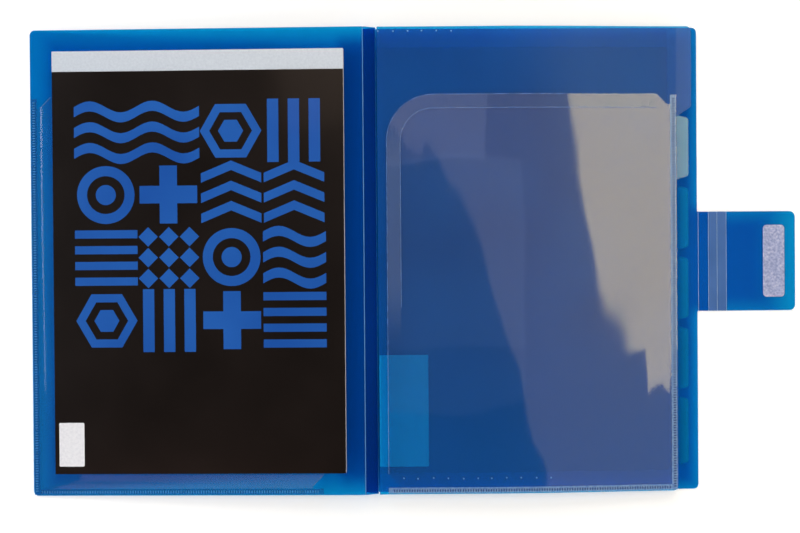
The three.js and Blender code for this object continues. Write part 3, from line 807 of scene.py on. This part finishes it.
# Printed card under a glossy laminate: deep, even colour with soft reflections.
def laminatedMaterial(name, deep, pale, cloudSize, detail, grained=False):
    material, tree, where = newMaterial(name)
    cloud = addNode(tree, "TexNoise", inputs={
        "Vector": where, "Scale": 1 / (cloudSize * mm), "Detail": detail}).outputs["Fac"]
    colour = addNode(tree, "ValToRGB", inputs={"Fac": cloud}, stops=[
        (0.3, linearHex(deep)), (0.7, linearHex(pale))])
    rough = addNode(tree, "MapRange", inputs={"Value": cloud, "To Min": 0.18, "To Max": 0.26})
    solid = addNode(tree, "BsdfPrincipled", inputs={
        "Base Color": colour.outputs["Color"], "Roughness": rough.outputs["Result"], "IOR": 1.5,
        "Coat Weight": 0.3, "Coat Roughness": 0.08})
    if grained:  # the card's grain shows through the laminate
        fine = addNode(tree, "TexNoise", inputs={
            "Vector": where, "Scale": 1 / (1.1 * mm), "Detail": 2})
        bump = addNode(tree, "Bump", inputs={
            "Height": fine.outputs["Fac"], "Distance": 0.004 * mm, "Strength": 0.5})
        tree.links.new(bump.outputs["Normal"], solid.inputs["Normal"])
    return closeMaterial(material, solid)


blackCard = laminatedMaterial("laminatedBlackCard", "16110f", "1c1614", 60, 3, grained=True)
blueInk = laminatedMaterial("printedBlueInk", "1d52a6", "2560b4", 70, 2)

bm = bmesh.new()
boxBetween(
    bm, (pad["left"], -pad["half"], pad["sheetLow"]),
    (pad["right"], pad["tapeLow"] - pad["tapeGap"], pad["sheetTop"]))
bentToPad(bm)
place(makePiece("padCover", bm, blackCard), "pad_cover", "printed_cover", "pad_cover_sheet")


# A plain pattern of rings, bars, hexagons, crosses, waves and chevrons on a grid of cells, in mm.
# The numbers in the drawings are shares of a cell's size, from its middle.
pattern = {"left": -203.0, "top": 114.0, "cell": 44.2, "ink": 0.035, "lift": 0.015}


def inkRing(bm, x, y, outer, inner, sides=48, turn=0.0):
    matrix = Matrix.Translation((x * mm, y * mm, 0)) @ Matrix.Rotation(math.radians(turn), 4, "Z")
    made = bmesh.ops.create_circle(bm, cap_ends=True, segments=sides, radius=outer * mm, matrix=matrix)
    disc = made["verts"][0].link_faces[0]
    if inner > 0:
        thickness = (outer - inner) * mm * math.cos(math.pi / sides)
        bmesh.ops.inset_region(
            bm, faces=[disc], thickness=thickness, use_even_offset=True, use_boundary=True)
        bmesh.ops.delete(bm, geom=[disc], context="FACES")


def inkShape(bm, points):
    bm.faces.new([bm.verts.new((x * mm, y * mm, 0)) for x, y in points])


def inkBox(bm, left, low, right, high):
    inkShape(bm, [(left, low), (right, low), (right, high), (left, high)])


def cellRing(bm, x, y, size):
    inkRing(bm, x, y, size * 0.46, size * 0.30)
    inkRing(bm, x, y, size * 0.16, 0)


def cellBars(bm, x, y, size):
    for k in range(4):
        low = y - size * 0.5 + size * (0.06 + k * 0.25)
        inkBox(bm, x - size * 0.5, low, x + size * 0.5, low + size * 0.13)


def cellPosts(bm, x, y, size):
    for k in range(3):
        left = x - size * 0.5 + size * (0.08 + k * 0.33)
        inkBox(bm, left, y - size * 0.5, left + size * 0.18, y + size * 0.5)


def cellHexagon(bm, x, y, size):
    inkRing(bm, x, y, size * 0.49, size * 0.34, sides=6, turn=30)
    inkRing(bm, x, y, size * 0.2, 0, sides=6, turn=30)


def cellCross(bm, x, y, size):
    a, b = size * 0.14, size * 0.46
    inkShape(bm, [
        (x - a, y - b), (x + a, y - b), (x + a, y - a), (x + b, y - a), (x + b, y + a), (x + a, y + a),
        (x + a, y + b), (x - a, y + b), (x - a, y + a), (x - b, y + a), (x - b, y - a), (x - a, y - a)])


def cellWaves(bm, x, y, size):
    for k in range(3):
        base = y + size * (-0.34 + 0.33 * k)
        upper = [(x + size * (t / 16 - 0.5), base + size * (0.08 + 0.09 * math.sin(t / 16 * 2 * math.pi)))
                 for t in range(17)]
        inkShape(bm, upper + [(px, py - size * 0.16) for px, py in reversed(upper)])


def cellChevrons(bm, x, y, size):
    left, right = x - size * 0.48, x + size * 0.48
    for k in range(3):
        base = y + size * (-0.46 + 0.32 * k)
        inkShape(bm, [
            (left, base), (x, base + size * 0.2), (right, base),
            (right, base + size * 0.15), (x, base + size * 0.35), (left, base + size * 0.15)])


def cellLattice(bm, x, y, size):
    for i in range(3):
        for j in range(3):
            inkRing(bm, x + size * (i - 1) * 0.33, y + size * (j - 1) * 0.33, size * 0.155, 0, sides=4)


layout = [
    [cellWaves, cellWaves, cellHexagon, cellPosts],
    [cellRing, cellCross, cellChevrons, cellChevrons],
    [cellBars, cellLattice, cellRing, cellWaves],
    [cellHexagon, cellPosts, cellCross, cellBars],
]
bm = bmesh.new()
size = pattern["cell"]
for row, cells in enumerate(layout):
    for column, draw in enumerate(cells):
        draw(bm, pattern["left"] + size * (column + 0.5), pattern["top"] - size * (row + 0.5), size)
bmesh.ops.recalc_face_normals(bm, faces=bm.faces)
for face in bm.faces:
    if face.normal.z < 0:
        face.normal_flip()
bmesh.ops.solidify(bm, geom=bm.faces[:], thickness=pattern["ink"] * mm)
lowest = min(v.co.z for v in bm.verts)
bmesh.ops.translate(bm, vec=(0, 0, (pad["sheetTop"] + pattern["lift"]) * mm - lowest), verts=bm.verts)
bentToPad(bm)
place(makePiece("padPrint", bm, blueInk), "pad_cover", "printed_cover")

# A bare sticker near the foot of the cover.
sticker = {
    "left": -215.4, "right": -197.6, "low": -143.2, "high": -112.4,
    "lift": 0.025, "top": 0.085, "corner": 0.8,
}
bm = bmesh.new()
boxBetween(
    bm, (sticker["left"], sticker["low"], pad["sheetTop"] + sticker["lift"]),
    (sticker["right"], sticker["high"], pad["sheetTop"] + sticker["top"]))
corners = [e for e in bm.edges if abs(e.verts[0].co.z - e.verts[1].co.z) > 0.01 * mm]
bmesh.ops.bevel(
    bm, geom=corners, offset=sticker["corner"] * mm, segments=3, affect="EDGES", profile=0.5, material=-1)
bentToPad(bm)
place(makePiece("padSticker", bm, labelPaper), "pad_cover", "printed_cover")
print("note pad made")


# Hook and loop fastener, in mm. The hooks lean by up to an angle in radians.
hooks = {
    "pitch": 0.95, "height": 0.34, "radiusLow": 0.182, "radiusTop": 0.234, "sides": 5,
    "lean": 0.4, "riseLow": 0.72, "riseHigh": 0.92, "foot": 0.4,
}
loops = {"pitch": 0.8, "depth": -1.3, "middle": -2, "half": 25.3, "rise": 0.28}


# Woven nylon tape: matt, with a soft sheen and pale specks painted into its colour, highlights where the
# threads catch the light.
def tapeMaterial(name, body, shade, speck):
    material, tree, where = newMaterial(name)
    weave = addNode(tree, "TexVoronoi", inputs={"Vector": where, "Scale": 1 / (0.9 * mm)})
    fuzz = addNode(tree, "TexNoise", inputs={"Vector": where, "Scale": 1 / (1.6 * mm), "Detail": 4})
    colour = addNode(tree, "ValToRGB", inputs={"Fac": fuzz.outputs["Fac"]}, stops=[
        (0.32, linearHex(shade)), (0.55, linearHex(body)), (0.72, linearHex(speck))])
    bump = addNode(tree, "Bump", inputs={
        "Height": weave.outputs["Distance"], "Distance": 0.12 * mm, "Strength": 0.8})
    solid = addNode(tree, "BsdfPrincipled", inputs={
        "Base Color": colour.outputs["Color"], "Roughness": 0.7, "IOR": 1.53, "Sheen Weight": 0.3,
        "Normal": bump.outputs["Normal"]})
    return closeMaterial(material, solid)


hookTape = tapeMaterial("mouldedNylonHooks", "aeb6da", "8c96c2", "d2d2e4")
loopTape = tapeMaterial("brushedNylonLoops", "c2c0d6", "a4a3c0", "dedbe6")

low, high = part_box("hook_patch")
bm = meshOfNode("hook_patch")
ground = high.z - hooks["height"] * mm  # the tape is lowered to make room for the hooks
for vert in bm.verts:
    if vert.co.z > low.z + hooks["foot"] * mm:
        vert.co.z = ground
columns = int((high.x - low.x) / mm / hooks["pitch"]) - 1
rows = int((high.y - low.y) / mm / hooks["pitch"]) - 1
for i in range(columns):
    for j in range(rows):
        x = (low.x + high.x) / 2 + (i - (columns - 1) / 2) * hooks["pitch"] * mm
        y = (low.y + high.y) / 2 + (j - (rows - 1) / 2) * hooks["pitch"] * mm
        leanX, leanY = (
            Matrix.Rotation(random.uniform(-hooks["lean"], hooks["lean"]), 4, axis) for axis in "XY")
        rise = hooks["height"] * random.uniform(hooks["riseLow"], hooks["riseHigh"])
        matrix = Matrix.Translation((x, y, ground + rise * mm / 2)) @ (leanX @ leanY)
        bmesh.ops.create_cone(
            bm, cap_ends=True, segments=hooks["sides"], radius1=hooks["radiusLow"] * mm,
            radius2=hooks["radiusTop"] * mm, depth=rise * mm, matrix=matrix)
place(makePiece("hookTape", bm, hookTape), "flap_tab", "hook_tape", "hook_patch")

low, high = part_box("loop_patch")
bm = meshOfNode("loop_patch")
cutAt(bm, (1, 0, 0), steps(low.x, high.x, loops["pitch"] * mm))
cutAt(bm, (0, 1, 0), steps(low.y, high.y, loops["pitch"] * mm))
for vert in bm.verts:  # the brushed face looks away from the cover
    local = inside @ vert.co
    if local.z < loops["depth"] * mm and abs(local.y - loops["middle"] * mm) < loops["half"] * mm:
        vert.co.z += random.uniform(0, loops["rise"]) * mm
place(makePiece("loopTape", bm, loopTape), "front_cover", "loop_tape", "loop_patch")
print("fastener made")


# Floor, lights and world. Where it is seen directly or mirrored, the floor glows more with the
# distance, so that it looks white without more light on the folder.
stage = {
    "floorHalf": 6.0, "floorDrop": 0.1 * mm, "floorColour": "fcfcfc",  # metres
    "glowNear": 0.16, "glowFar": 0.85, "fadeStart": 0.7, "fadeEnd": 2.8,  # metres from the folder
    "sky": [(0.0, 0.85), (0.45, 0.045), (0.9, 0.015)],  # height and grey level, from the horizon up
}
bm = bmesh.new()
bmesh.ops.create_grid(bm, x_segments=1, y_segments=1, size=stage["floorHalf"])
bmesh.ops.translate(bm, vec=(0, 0, -stage["floorDrop"]), verts=bm.verts)
floorMaterial, tree, where = newMaterial("paleFloor")
lightPath = addNode(tree, "LightPath")
dull = addNode(tree, "BsdfDiffuse", inputs={"Color": linearHex(stage["floorColour"])})
seen = addNode(tree, "Math", {"operation": "MAXIMUM"}, {
    0: lightPath.outputs["Is Camera Ray"], 1: lightPath.outputs["Is Transmission Ray"]})
seen = addNode(tree, "Math", {"operation": "MAXIMUM"}, {
    0: seen.outputs[0], 1: lightPath.outputs["Is Glossy Ray"]})
distance = addNode(tree, "VectorMath", {"operation": "LENGTH"}, {0: where}).outputs["Value"]
farther = addNode(tree, "MapRange", smooth, {
    "Value": distance, "From Min": stage["fadeStart"], "From Max": stage["fadeEnd"],
    "To Min": stage["glowNear"], "To Max": stage["glowFar"]})
glowLevel = addNode(tree, "Math", {"operation": "MULTIPLY"}, {
    0: seen.outputs[0], 1: farther.outputs["Result"]})
glow = addNode(tree, "Emission", inputs={"Strength": glowLevel.outputs[0]})
both = addNode(tree, "AddShader", inputs={0: dull.outputs[0], 1: glow.outputs[0]})
floor = makePiece("floor", bm, closeMaterial(floorMaterial, both))

# Each lamp: place, size, turn about Z or None to aim at the folder, radiance, colour. The first
# eight hang over the folder and are mirrored in its films and sheets, and the others light it.
lamps = {
    "softboxRight": ((0.4108, 0.2705, 0.86), (0.17, 0.81), 13.4, 4.2, "ffe8a4"),
    "softboxTail": ((0.4983, -0.1582, 0.86), (0.09, 0.065), 13.4, 4.2, "ffe8a4"),
    "softboxHaze": ((0.413, 0.047, 1.0), (0.6, 1.3), 27, 0.64, "ffe0c8"),
    "softboxGlint": ((-0.17, 0.31, 0.86), (0.16, 0.22), 8, 0.45, "ffe0c8"),
    "softboxCorner": ((0.02, 0.23, 0.862), (0.16, 0.17), 0, 0.42, "f4f0ff"),
    "softboxFilm": ((0.085, 0.01, 0.863), (0.23, 0.28), 0, 0.13, "d8ecff"),
    "softboxFilmLow": ((0.085, -0.035, 0.864), (0.23, 0.37), 0, 0.12, "d8ecff"),
    "softboxFoot": ((-0.39, -0.45, 0.86), (0.42, 0.16), 0, 0.62, "ffb090"),
    "softboxBack": ((0.0, 1.15, 0.75), (2.0, 0.7), None, 3.0, "f6faff"),
    "softboxLeft": ((-1.3, 0.1, 0.45), (0.7, 1.6), None, 3.4, "f6faff"),
    "softboxFront": ((0.0, -1.3, 0.6), (1.8, 0.6), None, 4.1, "f6faff"),
    "softboxFar": ((1.45, -0.1, 0.45), (0.6, 1.2), None, 2.0, "f6faff"),
}
folderMiddle = Vector((0, 0, 0))
for name, (spot, size, turn, radiance, colour) in lamps.items():
    data = bpy.data.lights.new(name, "AREA")
    data.shape = "RECTANGLE"
    data.size, data.size_y = size
    data.color = linearHex(colour)[:3]
    data.energy = radiance * math.pi * size[0] * size[1]
    lamp = bpy.data.objects.new(name, data)
    scene.collection.objects.link(lamp)
    if turn is None:
        aim = (folderMiddle - Vector(spot)).to_track_quat("-Z", "Y").to_matrix().to_4x4()
    else:
        aim = Matrix.Rotation(math.radians(turn), 4, "Z")
    lamp.matrix_world = Matrix.Translation(spot) @ aim

world = bpy.data.worlds.new("studio")
world.use_nodes = True
scene.world = world
tree = world.node_tree
tree.nodes.clear()
direction = addNode(tree, "TexCoord").outputs["Generated"]
height = addNode(tree, "SeparateXYZ", inputs={0: direction}).outputs["Z"]
sky = addNode(tree, "ValToRGB", inputs={"Fac": height}, stops=[
    (position, [level] * 3 + [1]) for position, level in stage["sky"]])
background = addNode(tree, "Background", inputs={"Color": sky.outputs["Color"]})
addNode(tree, "OutputWorld", inputs={"Surface": background.outputs[0]})
scene.view_settings.view_transform = "Standard"
scene.cycles.transparent_max_bounces = 64
print("stage lit")
